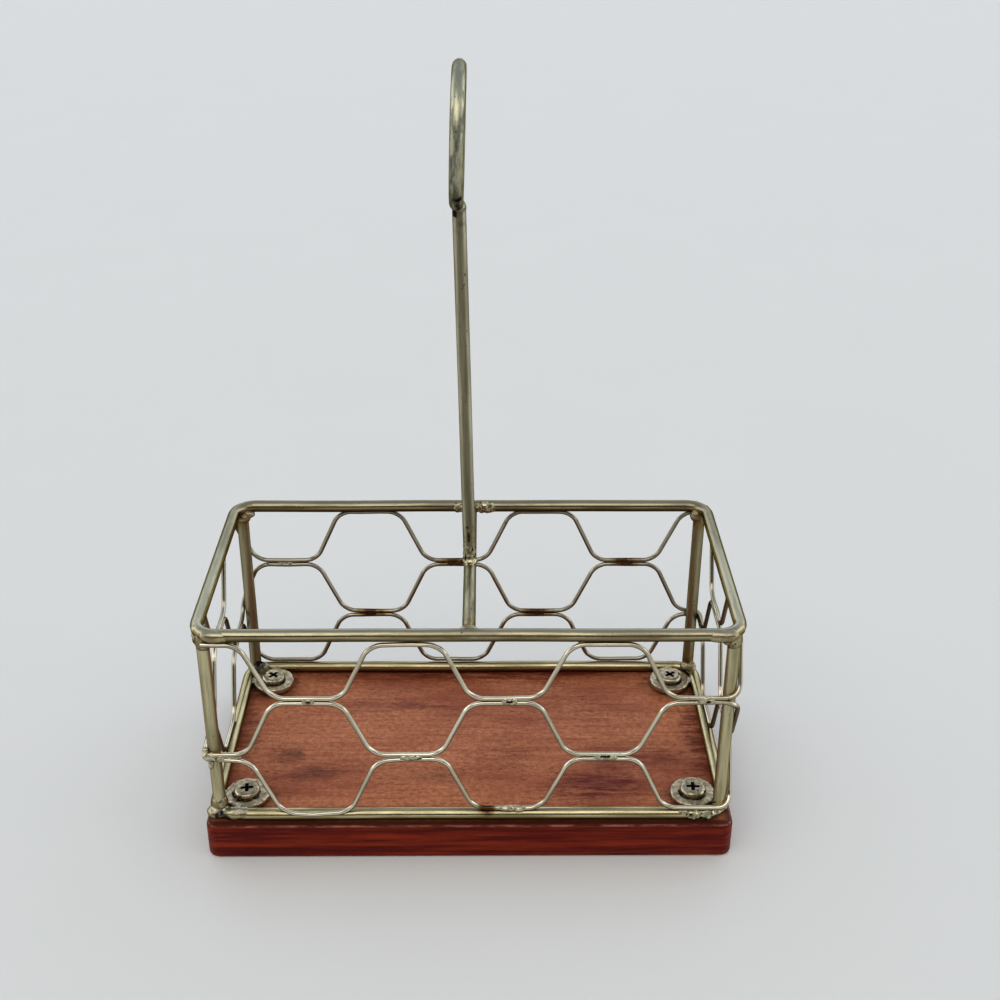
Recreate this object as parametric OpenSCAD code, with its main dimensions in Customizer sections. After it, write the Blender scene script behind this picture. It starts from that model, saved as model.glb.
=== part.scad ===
// Sugar packet holder: an open basket of welded wire on a small stained board,
// with a ring handle that stands on a bar across the basket's mouth.
// Millimetres. +X runs along the long front, +Y to the back and +Z up.
// The origin is the middle of the board's underside.

/* [Base board] */
// Length of the board, left to right
board_w = 133; // [110:1:180]
// Depth of the board, front to back
board_d = 71.6; // [60:0.2:104]
// Thickness of the board
board_t = 10; // [8:0.5:16]
// Radius of the board's upright corners
board_corner_r = 3; // [2.5:0.5:10]
// Radius that eases the board's edges
board_edge_r = 1; // [0.4:0.1:2]

/* [Basket frame] */
// Diameter of the thick wire: rings, posts, cross bar and handle
frame_wire_d = 3.2; // [2.4:0.1:4]
// How far the rings stand in from the board's left and right edges
side_inset = 0.3; // [0:0.1:4]
// How far the rings stand in from the board's front and back edges
front_inset = 1.6; // [0:0.1:4]
// Height of the basket, from the board to the top of the upper ring
basket_h = 56.5; // [46:0.5:80]
// Corner radius of the rings, to the middle of the wire
ring_corner_r = 5.5; // [4.5:0.5:10]

/* [Handle] */
// Length of the rod, from the middle of the cross bar to the underside of the ring
rod_len = 92.8; // [60:0.2:130]
// Outside diameter of the handle ring
handle_ring_d = 32.4; // [24:0.1:44]
// Lean of the handle to the left, in degrees
handle_lean = 1.2; // [0:0.1:4]
// How far the ring sits to the left of the rod
loop_shift = 0.5; // [0:0.1:1]
// Lean of the ring back to the right, against the rod, in degrees
loop_lean = 2.9; // [0:0.1:5]

/* [Wire mesh] */
// Diameter of the thin mesh wire
mesh_wire_d = 1.2; // [0.8:0.1:1.6]
// Length of one full wave
mesh_pitch = 47.7; // [44:0.1:60]
// Length of a flat, between the lines of its two slopes
mesh_flat = 16.8; // [13:0.2:18]
// Radius of each bend in the wave
mesh_bend_r = 5; // [2:0.1:5.5]
// How far the first post stands past the middle of the upper wire's first flat
upper_lead = -0.2; // [-4:0.1:4]
// The same for the middle wire
middle_lead = 0.1; // [-4:0.1:4]
// The same for the lower wire
lower_lead = -0.8; // [-4:0.1:4]

/* [Washers and screws] */
// Outside diameter of a washer
washer_d = 11.5; // [10:0.1:14]
// Thickness of a washer
washer_t = 1.8; // [1:0.1:2.2]
// Diameter of a washer's hole
washer_bore_d = 4.2; // [3.6:0.1:5]
// Radius of a washer's rounded edges
washer_edge_r = 0.35; // [0.1:0.05:0.45]
// Diameter of a screw's pan head
screw_head_d = 6.6; // [5.6:0.1:8]
// Height of a screw's pan head
screw_head_h = 1.5; // [1.2:0.1:3]
// Diameter of a screw's shank
screw_shank_d = 3.2; // [2.4:0.1:3.4]
// How deep a screw goes into the board
screw_bite = 7; // [4:0.5:7]
// Length of a screw's pointed tip
screw_tip = 2.5; // [1:0.1:3]
// Span of the cross recess
recess_span = 3.6; // [2.6:0.1:4.4]
// Width of the cross recess's slots
recess_slot = 1.1; // [0.8:0.1:1.4]
// Depth of the cross recess
recess_depth = 1; // [0.6:0.1:1.6]

/* [Hidden] */
$fn = 64;

// Sides of the basket, as signs along X and Y
left = -1;
right = 1;
front = -1;
back = 1;

// Colours
wood = "#6e2f22";
steel = "#8d8460";
thin_steel = "#a39a72";
pewter = "#7d7866";
weld_grey = "#6a6656";

// Clearances: between welded wires, round a screw's shank, under its point, and past a cut
weld_gap = 0.1;
pilot_gap = 0.05;
pilot_spare = 0.5;
overrun = 1;

// Wire radii
frame_r = frame_wire_d / 2;
mesh_r = mesh_wire_d / 2;
cope_r = frame_r + weld_gap;

// Middle lines of the rings: half length, half depth and heights
ring_x = board_w / 2 - side_inset - frame_r;
ring_y = board_d / 2 - front_inset - frame_r;
low_z = board_t + frame_r;
top_z = board_t + basket_h - frame_r;

// Posts stand on the middle of the rings' corner bends
post_inset = ring_corner_r * (1 - cos(45));
post_x = ring_x - post_inset;
post_y = ring_y - post_inset;

// Handle ring, to the middle of its wire
ring_bend_r = (handle_ring_d - frame_wire_d) / 2;

// Washers touch the ring's two inner sides in each corner
washer_x = ring_x - cope_r - washer_d / 2;
washer_y = ring_y - cope_r - washer_d / 2;
washer_top_z = low_z + washer_t / 2;

// Pan head: a straight rim under a shallow dome
head_rim_share = 0.45;
head_dome_h = screw_head_h * (1 - head_rim_share);
head_dome_r = (pow(screw_head_d / 2, 2) + pow(head_dome_h, 2)) / (2 * head_dome_h);

// Weld lumps, as shares of the thick wire's radius
lump_r_share = 1.5;
lump_lift_share = 1.2;
bead_r_share = 0.95;
bead_shift_share = 0.62;
lump_r = lump_r_share * frame_r;
lump_lift = lump_lift_share * frame_r;
bead_r = bead_r_share * frame_r;
bead_shift = bead_shift_share * frame_r * cos(45);

// The mesh runs outside the posts and bends round each one
mesh_off = frame_r + mesh_r + weld_gap;
mesh_out = max(mesh_off - post_inset, 0);
mesh_drop = sqrt(pow(mesh_off, 2) - pow(mesh_out, 2));
mesh_stack = mesh_wire_d + weld_gap;
mesh_rise = (top_z - low_z - 2 * mesh_drop - 2 * mesh_stack) / 3;
mesh_upper_z = top_z - mesh_drop - mesh_rise / 2;
mesh_middle_z = mesh_upper_z - mesh_rise - mesh_stack;
mesh_lower_z = mesh_middle_z - mesh_rise - mesh_stack;

// One wave: half its length, its slope, and where each bend starts and ends
half_wave = mesh_pitch / 2;
slope_deg = atan(mesh_rise / (half_wave - mesh_flat));
bend_from = mesh_flat / 2 - mesh_bend_r * tan(slope_deg / 2);
bend_to = bend_from + mesh_bend_r * sin(slope_deg);

// The mesh's route: four sides, from the front left post round to it again
post_places = [[-post_x, -post_y], [post_x, -post_y], [post_x, post_y], [-post_x, post_y]];
side_len = [2 * post_x, 2 * post_y, 2 * post_x, 2 * post_y];
turn_len = mesh_off * PI / 2;
side_from = [for (i = [0:3]) i * turn_len + sum_to(side_len, i)];
route_len = side_from[3] + side_len[3];

// Sections along the mesh wire
wire_sides = 8;
bend_steps = 4;
turn_steps = 4;
least_step = mesh_r / 10;

// Sum of the first n values of a list
function sum_to(list, n) = n == 0 ? 0 : list[n - 1] + sum_to(list, n - 1);

// A list in rising order
function sorted(list) =
    len(list) < 2 ? list :
    let (
        pivot = list[floor(len(list) / 2)],
        less = [for (v = list) if (v < pivot) v],
        same = [for (v = list) if (v == pivot) v],
        more = [for (v = list) if (v > pivot) v]
    )
    concat(sorted(less), same, sorted(more));

// Which side of the basket a length along the route lies on
function side_at(s, i = 3) = i == 0 || s >= side_from[i] ? i : side_at(s, i - 1);

// Height of a wave over its middle, and its slope, at a distance u from a flat's middle
function wave_z(u) =
    u <= bend_from ? mesh_rise / 2 :
    u >= bend_to ? mesh_rise / 2 - (u - mesh_flat / 2) * tan(slope_deg) :
    mesh_rise / 2 - mesh_bend_r + sqrt(pow(mesh_bend_r, 2) - pow(u - bend_from, 2));

function wave_fall(u) =
    u <= bend_from ? 0 :
    u >= bend_to ? slope_deg :
    asin((u - bend_from) / mesh_bend_r);

// One section of a mesh wire: a ring of points square to the wire at s along the route
function wire_section(s, middle_z, first, lead) =
    let (
        i = side_at(s),
        run = min(s - side_from[i], side_len[i]),
        heading = 90 * i + (s - side_from[i] - run) / turn_len * 90,
        along = [cos(90 * i), sin(90 * i), 0],
        forward = [cos(heading), sin(heading), 0],
        outward = [sin(heading), -cos(heading), 0],
        flat_number = round((s + lead) / half_wave),
        u = s + lead - flat_number * half_wave,
        up = first * (flat_number % 2 == 0 ? 1 : -1),
        climb = -up * sign(u) * wave_fall(abs(u)),
        across = [-sin(climb) * forward.x, -sin(climb) * forward.y, cos(climb)],
        post = post_places[i],
        centre = [post.x, post.y, middle_z + up * wave_z(abs(u))] + run * along + mesh_off * outward
    )
    [for (a = [0:wire_sides - 1])
        let (turn = 360 * (a + 1 / 2) / wire_sides)
        centre + mesh_r * (cos(turn) * outward + sin(turn) * across)];

// Where the sections stand: close together in the bends, none along the straights
function wave_stops(lead) = [
    for (k = [0:ceil((route_len + lead) / half_wave)], side = [-1, 1], j = [0:bend_steps])
        let (s = k * half_wave - lead
            + side * (bend_from + mesh_bend_r * sin(slope_deg * j / bend_steps)))
        if (s > 0 && s < route_len) s
];
turn_stops = [
    for (i = [0:2], j = [0:turn_steps])
        side_from[i] + side_len[i] + turn_len * j / turn_steps
];
function wire_stops(lead) =
    let (stops = sorted(concat([0, route_len], wave_stops(lead), turn_stops)))
    [for (i = [0:len(stops) - 1])
        if (i == 0 || stops[i] - stops[i - 1] > least_step) stops[i]];

// A mesh wire: sections joined into one tube, with a cap on each end
module mesh_wire(middle_z, first, lead) {
    stops = wire_stops(lead);
    rings = len(stops);
    points = [for (s = stops) each wire_section(s, middle_z, first, lead)];
    walls = [
        for (i = [0:rings - 2], a = [0:wire_sides - 1])
            let (
                b = (a + 1) % wire_sides,
                here = i * wire_sides,
                next = here + wire_sides
            )
            each [[here + a, next + a, here + b], [here + b, next + a, next + b]]
    ];
    start_cap = [for (a = [1:wire_sides - 2]) [0, a, a + 1]];
    last = (rings - 1) * wire_sides;
    end_cap = [for (a = [1:wire_sides - 2]) [last, last + a + 1, last + a]];
    color(thin_steel)
        polyhedron(points, concat(walls, start_cap, end_cap), convexity = 10);
}

// A flat rectangle with round corners, centred
module round_rect(w, h, r) {
    square([w - 2 * r, h], center = true);
    square([w, h - 2 * r], center = true);
    for (x = [-1, 1], y = [-1, 1])
        translate([x * (w / 2 - r), y * (h / 2 - r)])
            circle(r);
}

// The board's blank: two crossing bars and four turned corners, all with the same eased edge
module board_blank() {
    rotate([90, 0, 90])
        linear_extrude(board_w - 2 * board_corner_r, center = true)
            round_rect(board_d, board_t, board_edge_r);
    rotate([90, 0, 0])
        linear_extrude(board_d - 2 * board_corner_r, center = true)
            round_rect(board_w, board_t, board_edge_r);
    for (x = [left, right], y = [front, back])
        translate([x * (board_w / 2 - board_corner_r), y * (board_d / 2 - board_corner_r), 0])
            rotate_extrude()
                intersection() {
                    round_rect(2 * board_corner_r, board_t, board_edge_r);
                    translate([0, -board_t])
                        square([2 * board_corner_r, 2 * board_t]);
                }
}

module base_board() {
    pilot_depth = screw_bite + pilot_spare;
    color(wood)
        difference() {
            translate([0, 0, board_t / 2])
                board_blank();
            for (x = [left, right], y = [front, back])
                translate([x * washer_x, y * washer_y, board_t - pilot_depth])
                    cylinder(d = screw_shank_d + 2 * pilot_gap, h = pilot_depth + overrun);
        }
}

// One bent corner of a ring, as a tube of radius r
module ring_bend(x, y, z, r) {
    quarter = x > 0 ? (y > 0 ? 0 : 270) : (y > 0 ? 90 : 180);
    translate([x * (ring_x - ring_corner_r), y * (ring_y - ring_corner_r), z])
        rotate(quarter)
            rotate_extrude(angle = 90)
                translate([ring_corner_r, 0])
                    circle(r);
}

// The straight front or back of a ring, as a tube of radius r
module ring_long_side(y, z, r) {
    translate([0, y * ring_y, z])
        rotate([0, 90, 0])
            cylinder(r = r, h = 2 * (ring_x - ring_corner_r), center = true);
}

// The straight left or right end of a ring, as a tube of radius r
module ring_short_side(x, z, r) {
    translate([x * ring_x, 0, z])
        rotate([90, 0, 0])
            cylinder(r = r, h = 2 * (ring_y - ring_corner_r), center = true);
}

// A ring: one loop of thick wire with four bent corners
module basket_ring(z) {
    color(steel) {
        for (y = [front, back])
            ring_long_side(y, z, frame_r);
        for (x = [left, right])
            ring_short_side(x, z, frame_r);
        for (x = [left, right], y = [front, back])
            ring_bend(x, y, z, frame_r);
    }
}

// A corner post, its ends hollowed to sit on the two rings
module post(x, y) {
    color(steel)
        difference() {
            translate([x * post_x, y * post_y, low_z])
                cylinder(r = frame_r, h = top_z - low_z);
            ring_bend(x, y, low_z, cope_r);
            ring_bend(x, y, top_z, cope_r);
        }
}

// The bar across the basket's mouth, as a tube of radius r
module bar_tube(r) {
    rotate([90, 0, 0])
        cylinder(r = r, h = 2 * ring_y, center = true);
}

// The bar fits between the top ring's front and back, its ends hollowed to their wire
module cross_bar() {
    color(steel)
        difference() {
            translate([0, 0, top_z])
                bar_tube(frame_r);
            for (y = [front, back])
                ring_long_side(y, top_z, cope_r);
        }
}

// The handle's own frame: its foot is on the middle of the cross bar, and it leans about the bar
module at_handle() {
    translate([0, 0, top_z])
        rotate([0, -handle_lean, 0])
            children();
}

// The handle ring, as a tube of radius r, edge-on to the front; it leans about its lowest point
module loop_tube(r) {
    translate([-loop_shift, 0, rod_len + frame_r])
        rotate([0, loop_lean, 0])
            translate([0, 0, ring_bend_r])
                rotate([0, 90, 0])
                    rotate_extrude()
                        translate([ring_bend_r, 0])
                            circle(r);
}

// The rod sits hollowed on the cross bar and ends flat under the ring
module handle_rod() {
    color(steel)
        at_handle()
            difference() {
                cylinder(r = frame_r, h = rod_len - weld_gap);
                bar_tube(cope_r);
            }
}

module handle_ring() {
    color(steel)
        at_handle()
            loop_tube(frame_r);
}

// A washer, level with the middle of the bottom ring's wire
module washer(x, y) {
    wall = (washer_d - washer_bore_d) / 2;
    color(pewter)
        translate([x * washer_x, y * washer_y, low_z])
            rotate_extrude()
                translate([washer_bore_d / 2 + wall / 2, 0])
                    round_rect(wall, washer_t, washer_edge_r);
}

// The room that a washer takes, with the weld's clearance
module washer_room(x, y) {
    translate([x * washer_x, y * washer_y, low_z])
        cylinder(d = washer_d + 2 * weld_gap, h = washer_t + 2 * weld_gap, center = true);
}

// A pan head with a cross recess, standing on the plane z = 0
module pan_head() {
    difference() {
        intersection() {
            cylinder(d = screw_head_d, h = screw_head_h);
            translate([0, 0, screw_head_h - head_dome_r])
                sphere(head_dome_r);
        }
        for (turn = [0, 90])
            translate([0, 0, screw_head_h - recess_depth / 2 + overrun / 2])
                rotate(turn)
                    cube([recess_span, recess_slot, recess_depth + overrun], center = true);
    }
}

// A screw through a washer into the board
module screw(x, y) {
    reach = washer_top_z - board_t + screw_bite;
    color(pewter)
        translate([x * washer_x, y * washer_y, washer_top_z]) {
            pan_head();
            translate([0, 0, screw_tip - reach])
                cylinder(d = screw_shank_d, h = reach - screw_tip);
            translate([0, 0, -reach])
                cylinder(d1 = 0, d2 = screw_shank_d, h = screw_tip);
        }
}

// A lump of weld round the foot of a wire that stands along +Z on a wire through the origin
module weld_lump() {
    color(weld_grey)
        difference() {
            translate([0, 0, lump_lift])
                sphere(lump_r);
            translate([0, 0, -overrun])
                cylinder(r = cope_r, h = lump_lift + lump_r + 2 * overrun);
            children();
        }
}

module weld_rod_foot() {
    at_handle()
        weld_lump()
            bar_tube(cope_r);
}

module weld_rod_head() {
    at_handle()
        translate([0, 0, rod_len + frame_r])
            mirror([0, 0, 1])
                weld_lump()
                    mirror([0, 0, 1])
                        translate([0, 0, -rod_len - frame_r])
                            loop_tube(cope_r);
}

// Weld at one end of the cross bar, which leaves the top ring towards the middle
module weld_bar(y) {
    translate([0, y * ring_y, top_z])
        rotate([90 * y, 0, 0])
            weld_lump()
                rotate([0, 90, 0])
                    cylinder(r = cope_r, h = 2 * (lump_r + overrun), center = true);
}

// A bead of weld inside a corner, where a post meets a ring; up is 1 on the bottom ring, -1 on the top
module weld_corner(x, y, z, up) {
    color(weld_grey)
        difference() {
            translate([x * (post_x - bead_shift), y * (post_y - bead_shift), z + up * lump_lift])
                sphere(bead_r);
            translate([x * post_x, y * post_y, low_z])
                cylinder(r = cope_r, h = top_z - low_z);
            ring_bend(x, y, z, cope_r);
            washer_room(x, y);
        }
}

base_board();
basket_ring(low_z);  // bottom_ring
basket_ring(top_z);  // top_ring
post(left, front);  // post_front_left
post(right, front);  // post_front_right
post(left, back);  // post_back_left
post(right, back);  // post_back_right
cross_bar();
handle_rod();
handle_ring();
mesh_wire(mesh_upper_z, 1, upper_lead);  // mesh_upper
mesh_wire(mesh_middle_z, -1, middle_lead);  // mesh_middle
mesh_wire(mesh_lower_z, 1, lower_lead);  // mesh_lower
washer(left, front);  // washer_front_left
washer(right, front);  // washer_front_right
washer(left, back);  // washer_back_left
washer(right, back);  // washer_back_right
screw(left, front);  // screw_front_left
screw(right, front);  // screw_front_right
screw(left, back);  // screw_back_left
screw(right, back);  // screw_back_right
weld_rod_foot();
weld_rod_head();
weld_bar(front);  // weld_bar_front
weld_bar(back);  // weld_bar_back
weld_corner(left, front, low_z, 1);  // weld_low_front_left
weld_corner(right, front, low_z, 1);  // weld_low_front_right
weld_corner(left, back, low_z, 1);  // weld_low_back_left
weld_corner(right, back, low_z, 1);  // weld_low_back_right
weld_corner(left, front, top_z, -1);  // weld_top_front_left
weld_corner(right, front, top_z, -1);  // weld_top_front_right
weld_corner(left, back, top_z, -1);  // weld_top_back_left
weld_corner(right, back, top_z, -1);  // weld_top_back_right
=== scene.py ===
# %% [markdown]
# # A sugar packet holder of welded wire
# The object is a small open basket: thick steel wire bent into two loops, four posts between them, three
# thin wires bent in waves round the outside, and a ring handle on a bar across the mouth. It stands on a
# stained board. The lesson follows the maker's order: board, frame, handle, mesh, fastenings, weld metal,
# then finishes and light.

# %% Load the frame
import math

import bmesh
import bpy
import numpy
from mathutils import Matrix, Vector, noise


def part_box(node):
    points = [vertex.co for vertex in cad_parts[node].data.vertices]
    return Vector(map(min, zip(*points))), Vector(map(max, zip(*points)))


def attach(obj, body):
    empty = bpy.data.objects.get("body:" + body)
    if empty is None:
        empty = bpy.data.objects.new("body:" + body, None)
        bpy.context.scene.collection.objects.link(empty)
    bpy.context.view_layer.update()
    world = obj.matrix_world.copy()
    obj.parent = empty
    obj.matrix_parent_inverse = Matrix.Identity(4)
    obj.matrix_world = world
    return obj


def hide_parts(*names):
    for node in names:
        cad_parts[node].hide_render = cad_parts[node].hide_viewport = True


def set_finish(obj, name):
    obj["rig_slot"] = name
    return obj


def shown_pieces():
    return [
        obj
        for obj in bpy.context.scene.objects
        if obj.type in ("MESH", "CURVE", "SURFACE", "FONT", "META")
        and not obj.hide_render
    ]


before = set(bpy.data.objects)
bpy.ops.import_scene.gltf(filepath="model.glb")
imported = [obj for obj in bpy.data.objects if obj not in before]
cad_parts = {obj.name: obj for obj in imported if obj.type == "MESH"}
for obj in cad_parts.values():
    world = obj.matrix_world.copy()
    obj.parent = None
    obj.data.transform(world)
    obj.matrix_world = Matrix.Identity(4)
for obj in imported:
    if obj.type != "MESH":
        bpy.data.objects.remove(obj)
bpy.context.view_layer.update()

# Vector noise starts from the clock unless it is seeded.
noise_seed = 396
noise.seed_set(noise_seed)

MM = 0.001
board_low, board_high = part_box("base_board")
top_low, top_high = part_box("top_ring")
low_low, low_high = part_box("bottom_ring")
bar_low, bar_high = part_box("cross_bar")

frame_r = (top_high.z - top_low.z) / 2
ring_half = Vector((top_high.x - frame_r, top_high.y - frame_r))
top_z = (top_high.z + top_low.z) / 2
low_z = (low_high.z + low_low.z) / 2
print("thick wire %.2f mm" % (2 * frame_r / MM))
print("rings %.1f by %.1f mm" % (2 * ring_half.x / MM, 2 * ring_half.y / MM))

# %% [markdown]
# ## Working as by hand
# Every piece starts as a primitive and is shaped by the same operators that a person would use in the
# window. An operator works on all that is selected, so each piece starts with nothing selected, and
# vertices, edges and faces are then chosen in code by where they are.


# %% Helpers for starting and choosing
def start_fresh():
    """Leaves edit mode and selects nothing."""
    if bpy.context.object and bpy.context.object.mode != "OBJECT":
        bpy.ops.object.mode_set(mode="OBJECT")
    bpy.ops.object.select_all(action="DESELECT")


def take(piece):
    """Selects one piece and nothing else."""
    start_fresh()
    piece.select_set(True)
    bpy.context.view_layer.objects.active = piece


def edit(piece):
    """Goes into edit mode on one piece."""
    take(piece)
    bpy.ops.object.mode_set(mode="EDIT")


def choose(piece, kind, test):
    """In edit mode, selects the VERT, EDGE or FACE parts that pass a test."""
    bpy.ops.mesh.select_mode(type=kind)
    bpy.ops.mesh.select_all(action="DESELECT")
    shape = bmesh.from_edit_mesh(piece.data)
    for part in {"VERT": shape.verts, "EDGE": shape.edges, "FACE": shape.faces}[kind]:
        if test(part):
            part.select_set(True)
    shape.select_flush_mode()
    bmesh.update_edit_mesh(piece.data)


# %% Helpers for naming and finishing
same_point = 0.002 * MM


def name_piece(name):
    """Names the object that an operator has just added."""
    piece = bpy.context.object
    piece.name = name
    piece.data.name = name
    return piece


def settle():
    """Puts the place, turn and scale of the selected piece into its mesh."""
    bpy.ops.object.transform_apply(location=True, rotation=True, scale=True)


def modify(piece, kind, **settings):
    """Adds a modifier with its settings and applies it."""
    take(piece)
    modifier = piece.modifiers.new(kind.title(), kind)
    for setting, value in settings.items():
        setattr(modifier, setting, value)
    bpy.ops.object.modifier_apply(modifier=modifier.name)


def close_up(piece, smooth_angle=40):
    """Settles a piece, merges doubles, turns faces outwards and smooths the shading."""
    take(piece)
    settle()
    edit(piece)
    bpy.ops.mesh.select_all(action="SELECT")
    bpy.ops.mesh.remove_doubles(threshold=same_point)
    bpy.ops.mesh.normals_make_consistent(inside=False)
    take(piece)
    bpy.ops.object.shade_smooth_by_angle(angle=math.radians(smooth_angle))


def fit(piece, slot, *nodes):
    """Says what the piece stands for, which finish it takes and what carries it."""
    if nodes:
        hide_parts(*nodes)
    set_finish(piece, slot)
    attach(piece, "root")
    print("%-22s %6d faces" % (piece.name, len(piece.data.polygons)))
    return piece


# %% [markdown]
# ## The board
# A sawn and sanded offcut with small round corners and eased edges. A cube is brought to size, its four
# upright edges are bevelled first and its outer rims after, so that the easing runs round the corners too.

# %% Board
board_corner_r = 3 * MM
board_edge_r = 1 * MM
board_size = board_high - board_low

start_fresh()
bpy.ops.mesh.primitive_cube_add(size=1, location=(board_low + board_high) / 2)
board = name_piece("board")
board.scale = board_size
settle()
edit(board)
choose(board, "EDGE", lambda e: abs(e.verts[0].co.z - e.verts[1].co.z) > board_size.z / 2)
bpy.ops.mesh.bevel(offset=board_corner_r, segments=10, affect="EDGES")
choose(board, "EDGE", lambda e: len(e.link_faces) == 2 and e.calc_face_angle() > math.radians(60))
bpy.ops.mesh.bevel(offset=board_edge_r, segments=5, affect="EDGES")
close_up(board, 30)
fit(board, "stained_wood", "base_board")

# %% [markdown]
# ## Thick wire
# The frame is one size of drawn wire, cut and bent cold. A bent wire is a line with thickness, so each one
# starts as a line in edit mode, its corners are rounded by a vertex bevel, and the line gets its thickness
# as a curve's round bevel before it becomes a mesh again. Cuts along the line let the wire wander by a
# hair, as bent wire does.


# %% Helpers for lines
def lay_line(name, stops):
    """A line through the stops, pulled out of one point step by step."""
    start_fresh()
    bpy.ops.mesh.primitive_plane_add(size=1 * MM, location=(0, 0, 0))
    line = name_piece(name)
    bpy.ops.object.mode_set(mode="EDIT")
    bpy.ops.mesh.select_mode(type="VERT")
    bpy.ops.mesh.select_all(action="SELECT")
    bpy.ops.mesh.merge(type="CENTER")
    bpy.ops.transform.translate(value=stops[0])
    for here, there in zip(stops, stops[1:]):
        bpy.ops.mesh.extrude_vertices_move(TRANSFORM_OT_translate={"value": there - here})
    return line


def cut_long_edges(line, longest):
    """Halves the edges of a line until none is longer than allowed."""
    shape = bmesh.from_edit_mesh(line.data)
    while max(e.calc_length() for e in shape.edges) > longest:
        choose(line, "EDGE", lambda e: e.calc_length() > longest)
        bpy.ops.mesh.subdivide(number_cuts=1)
        shape = bmesh.from_edit_mesh(line.data)


def wander(line, swing, wave, seed):
    """Moves a line's points sideways a little, smoothly along its length."""
    start_fresh()
    for point in line.data.vertices:
        point.co += swing * noise.noise_vector(point.co / wave + Vector((seed, 2 * seed, 3 * seed)))


# %% Helper for wires
def thicken(line, radius, sides_step=6):
    """Turns a line into a round wire and closes its ends."""
    take(line)
    bpy.ops.object.convert(target="CURVE")
    wire = bpy.context.object
    wire.data.bevel_depth = radius
    wire.data.bevel_resolution = sides_step
    wire.data.use_fill_caps = True
    bpy.ops.object.convert(target="MESH")
    wire = bpy.context.object
    close_up(wire)
    return wire


# %% Bottom and top rings
ring_corner_r = 5.5 * MM
wire_step = 0.8 * MM
bend_swing = 0.12 * MM
bend_wave = 30 * MM


def bend_ring(name, height, seed):
    """A loop of thick wire: a rectangle without its face, its corners rounded."""
    start_fresh()
    bpy.ops.mesh.primitive_plane_add(size=2, location=(0, 0, height))
    ring = name_piece(name)
    ring.scale = (ring_half.x, ring_half.y, 1)
    settle()
    edit(ring)
    bpy.ops.mesh.select_all(action="SELECT")
    bpy.ops.mesh.delete(type="ONLY_FACE")
    bpy.ops.mesh.select_mode(type="VERT")
    bpy.ops.mesh.select_all(action="SELECT")
    bpy.ops.mesh.bevel(offset=ring_corner_r, segments=12, affect="VERTICES")
    cut_long_edges(ring, wire_step)
    wander(ring, bend_swing, bend_wave, seed)
    return thicken(ring, frame_r)


fit(bend_ring("bottom_ring_wire", low_z, 1.3), "frame_wire", "bottom_ring")
fit(bend_ring("top_ring_wire", top_z, 4.1), "frame_wire", "top_ring")

# %% Posts
post_inset = ring_corner_r * (1 - math.sqrt(0.5))
post_place = Vector((ring_half.x - post_inset, ring_half.y - post_inset))
corner_signs = {"front_left": (-1, -1), "front_right": (1, -1), "back_right": (1, 1), "back_left": (-1, 1)}


def straight_wire(name, foot, head, seed, step=wire_step):
    """A straight length of thick wire with cut points along it."""
    line = lay_line(name, [foot, head])
    cut_long_edges(line, step)
    wander(line, bend_swing / 2, bend_wave, seed)
    return thicken(line, frame_r, 8)


for number, (corner, (x, y)) in enumerate(corner_signs.items()):
    foot = Vector((x * post_place.x, y * post_place.y, low_z))
    head = Vector((foot.x, foot.y, top_z))
    fit(straight_wire("post_%s_wire" % corner, foot, head, 7 + number), "frame_wire", "post_" + corner)

# %% [markdown]
# ## The handle
# A bar joins the front and back of the top loop, and the handle's rod stands on its middle. The rod leans
# a little to the left, and the loop on its top, edge-on to the front, leans back a little to the right and
# sits half a millimetre to one side, as it was held by hand for the weld.

# %% Handle measures
handle_lean = math.radians(1.2)
loop_lean = math.radians(1.7)
bar_z = (bar_low.z + bar_high.z) / 2
rod_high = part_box("handle_rod")[1]
loop_low, loop_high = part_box("handle_ring")
loop_middle = (loop_low + loop_high) / 2
loop_r = (loop_high.y - loop_low.y) / 2 - frame_r
loop_foot = loop_middle - loop_r * Vector((math.sin(loop_lean), 0, math.cos(loop_lean)))
handle_foot = Vector((0, 0, bar_z))
handle_up = Vector((-math.sin(handle_lean), 0, math.cos(handle_lean)))
rod_reach = (rod_high.z - bar_z - frame_r * math.sin(handle_lean)) / math.cos(handle_lean)
rod_top = handle_foot + rod_reach * handle_up
print("rod %.1f mm, loop %.1f mm across" % (rod_reach / MM, 2 * loop_r / MM))

# %% Cross bar, rod and ring
bar_ends = [Vector((0, -ring_half.y, bar_z)), Vector((0, ring_half.y, bar_z))]
fit(straight_wire("cross_bar_wire", *bar_ends, 13), "frame_wire", "cross_bar")
fit(straight_wire("handle_rod_wire", handle_foot, rod_top, 17, wire_step / 2), "frame_wire", "handle_rod")

start_fresh()
bpy.ops.mesh.primitive_circle_add(vertices=240, radius=loop_r, location=loop_middle,
                                  rotation=(0, math.pi / 2 + loop_lean, 0))
loop = name_piece("handle_ring_wire")
settle()
wander(loop, bend_swing, bend_wave, 23)
fit(thicken(loop, frame_r, 8), "frame_wire", "handle_ring")

# %% [markdown]
# ## The mesh
# Three thin wires are bent in flat-topped waves and stacked, so that the gaps between them are long
# hexagons. Each wire starts at the front left post and runs round all four sides, outside the posts. It is
# drawn flat first, as the wire was bent on a jig: a zigzag line whose corners get a vertex bevel. The line
# is then wrapped round the basket by where each point lies along its length.

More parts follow.
